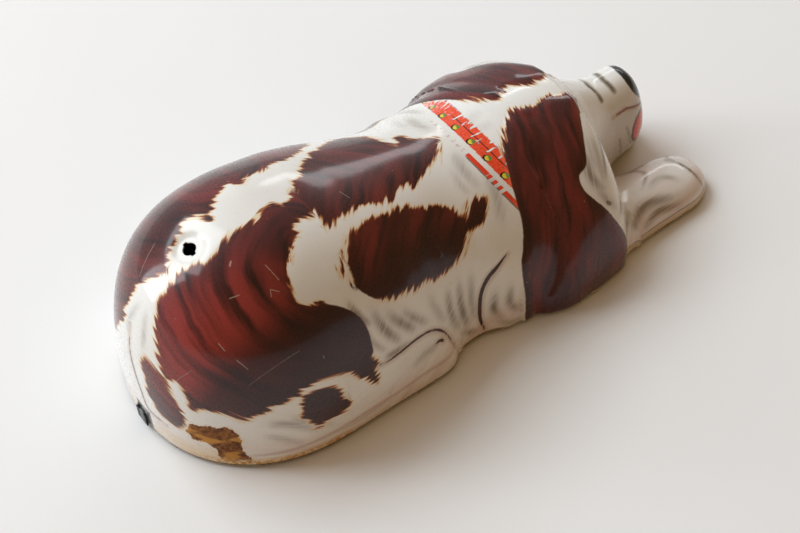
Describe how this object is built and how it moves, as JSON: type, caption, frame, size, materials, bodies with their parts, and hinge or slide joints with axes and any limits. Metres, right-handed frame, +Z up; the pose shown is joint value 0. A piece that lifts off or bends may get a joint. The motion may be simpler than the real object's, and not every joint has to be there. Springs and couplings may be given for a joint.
{
  "type": "clockwork toy dog",
  "caption": "Wind-up tinplate toy spaniel lying on its belly: drawn printed shell over a spring motor with geared rear wheels and a winding key.",
  "frame": {"origin": "on the ground, on the dog's centre plane, under the rearmost point of the body", "axes": "+X to the dog's nose, +Y to its left, +Z up"},
  "size_m": [0.1607, 0.0798, 0.0525],
  "materials": {
    "litho_tin": "glossy printed tinplate, white coat with red-brown patches",
    "base_tin": "lacquered tinplate, dull",
    "plated_steel": "tin-plated steel strip",
    "spring_steel": "blued spring steel",
    "bright_steel": "drawn steel wire",
    "nickel_plate": "worn nickel plate",
    "brass": "aged brass",
    "rubber": "matt black rubber",
    "turned_wood": "stained turned beech"
  },
  "bodies": {
    "root": {"body_shell": "litho_tin", "base_plate": "base_tin", "motor_plate_left": "plated_steel", "motor_plate_right": "plated_steel", "pillar_rear": "plated_steel", "pillar_top": "plated_steel", "pillar_front": "plated_steel", "spring_post": "plated_steel", "mainspring": "spring_steel", "front_bracket": "plated_steel", "bracket_rivets": "plated_steel"},
    "drive_axle": {"drive_axle": "bright_steel", "drive_pinion": "brass", "drive_wheel_left": "plated_steel", "drive_wheel_right": "plated_steel", "drive_tyre_left": "rubber", "drive_tyre_right": "rubber"},
    "second_arbor": {"second_arbor": "bright_steel", "second_pinion": "brass", "second_wheel": "brass"},
    "great_wheel": {"great_wheel": "brass", "great_wheel_bush": "brass", "click_pin": "plated_steel", "click_spring": "spring_steel"},
    "winding_arbor": {"winding_arbor": "bright_steel", "winding_key": "nickel_plate", "ratchet_wheel": "plated_steel"},
    "click": {"click": "plated_steel"},
    "front_axle": {"front_axle": "bright_steel", "front_wheel_left": "turned_wood", "front_wheel_right": "turned_wood"}
  },
  "joints": [
    {"name": "drive_axle_turn", "type": "hinge", "parent": "root", "child": "drive_axle", "pos_m": [0.03273, 0, 0.008], "axis": [0, 1, 0], "continuous": true},
    {"name": "second_arbor_turn", "type": "hinge", "parent": "root", "child": "second_arbor", "pos_m": [0.04254, 0, 0.014], "axis": [0, 1, 0], "continuous": true},
    {"name": "great_wheel_turn", "type": "hinge", "parent": "root", "child": "great_wheel", "pos_m": [0.056, 0, 0.015], "axis": [0, 1, 0], "continuous": true},
    {"name": "winding", "type": "hinge", "parent": "great_wheel", "child": "winding_arbor", "pos_m": [0.056, 0, 0.015], "axis": [0, 1, 0], "continuous": true, "deforming": ["mainspring"]},
    {"name": "click_lift", "type": "hinge", "parent": "great_wheel", "child": "click", "pos_m": [0.05985, 0, 0.02224], "axis": [0, 1, 0], "range_deg": [0, 7], "stiffness_Nm_per_rad": 0.0001, "deforming": ["click_spring"]},
    {"name": "front_axle_turn", "type": "hinge", "parent": "root", "child": "front_axle", "pos_m": [0.116, 0, 0.006], "axis": [0, 1, 0], "continuous": true}
  ],
  "couplings": [
    {"joint": "second_arbor_turn", "follows": "drive_axle_turn", "ratio": -0.27778},
    {"joint": "great_wheel_turn", "follows": "drive_axle_turn", "ratio": 0.063131}
  ]
}
